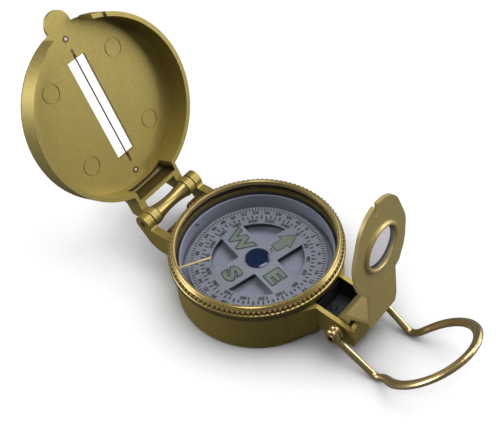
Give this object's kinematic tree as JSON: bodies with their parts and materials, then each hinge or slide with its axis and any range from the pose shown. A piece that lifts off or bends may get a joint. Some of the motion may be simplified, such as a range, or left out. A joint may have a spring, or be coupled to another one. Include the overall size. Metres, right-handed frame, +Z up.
{
  "type": "magnetic compass",
  "caption": "Folding lensatic compass: round case, rotating bezel, dial card, sighting cover with wire, folding magnifier bracket and thumb loop.",
  "frame": {"origin": "centre of the case underside, on the axis of the dial and bezel", "axes": "+Z up out of the dial; +Y towards the cover hinge and the sighting cover; -Y towards the lens bracket and thumb loop; +X to the right when looking along +Y"},
  "size_m": [0.055, 0.1385, 0.0714],
  "materials": {
    "case_paint": "satin",
    "bracket_paint": "satin",
    "bezel_gold": "polished",
    "polished_gold": "polished",
    "steel_pin": "satin",
    "spring_steel": "blackened",
    "bronze": "satin",
    "dark_plastic": "matte",
    "capsule_grey": "matte",
    "black_rubber": "matte",
    "brass_seat": "satin",
    "copper_wire": "satin",
    "luminous_white": "gloss",
    "clear_window": "clear",
    "luminous_yellow": "matte",
    "black_mark": "matte",
    "card_grey": "matte",
    "hub_blue": "gloss",
    "jewel_red": "gloss",
    "magnet_grey": "matte",
    "luminous_green": "matte"
  },
  "bodies": {
    "base": {"case": "case_paint", "hinge_pin": "steel_pin", "click_spring": "bronze", "click_screws": "steel_pin", "bezel_snap_ring": "spring_steel", "bezel_thrust_ring": "dark_plastic", "capsule": "capsule_grey", "capsule_gasket": "black_rubber", "pivot_seat": "brass_seat", "pivot_pin": "steel_pin", "bracket_leaf": "spring_steel", "leaf_rivet": "spring_steel", "rear_pin": "polished_gold"},
    "lid": {"cover": "case_paint", "hinge_spool": "case_paint", "sighting_wire": "copper_wire", "wire_clamps": "copper_wire", "luminous_dots": "luminous_white", "dot_cups": "copper_wire"},
    "bezel": {"bezel_ring": "bezel_gold", "crystal": "clear_window", "crystal_retainer": "spring_steel", "index_line": "luminous_yellow", "index_dot": "black_mark"},
    "dial": {"compass_card": "card_grey", "card_hub": "hub_blue", "jewel_bearing": "jewel_red", "magnet_bar": "magnet_grey", "north_arrow": "luminous_green", "card_ticks": "black_mark"},
    "bracket": {"lens_bracket": "bracket_paint", "magnifier_lens": "clear_window", "lens_circlip": "spring_steel"},
    "loop": {"thumb_loop": "polished_gold"}
  },
  "joints": [
    {"name": "cover_hinge", "type": "hinge", "parent": "base", "child": "lid", "pos_m": [0, 0.0338, 0.0145], "axis": [1, 0, 0], "range_deg": [-67, 112.4]},
    {"name": "bracket_hinge", "type": "hinge", "parent": "base", "child": "bracket", "pos_m": [0, -0.0334, 0.0094], "axis": [-1, 0, 0], "range_deg": [0, 86]},
    {"name": "loop_hinge", "type": "hinge", "parent": "base", "child": "loop", "pos_m": [0, -0.0334, 0.0094], "axis": [-1, 0, 0], "range_deg": [-95, 50]},
    {"name": "bezel_turn", "type": "hinge", "parent": "base", "child": "bezel", "pos_m": [0, 0, 0.0163], "axis": [0, 0, 1], "continuous": true},
    {"name": "card_turn", "type": "hinge", "parent": "base", "child": "dial", "pos_m": [0, 0, 0.0097], "axis": [0, 0, 1], "continuous": true}
  ]
}
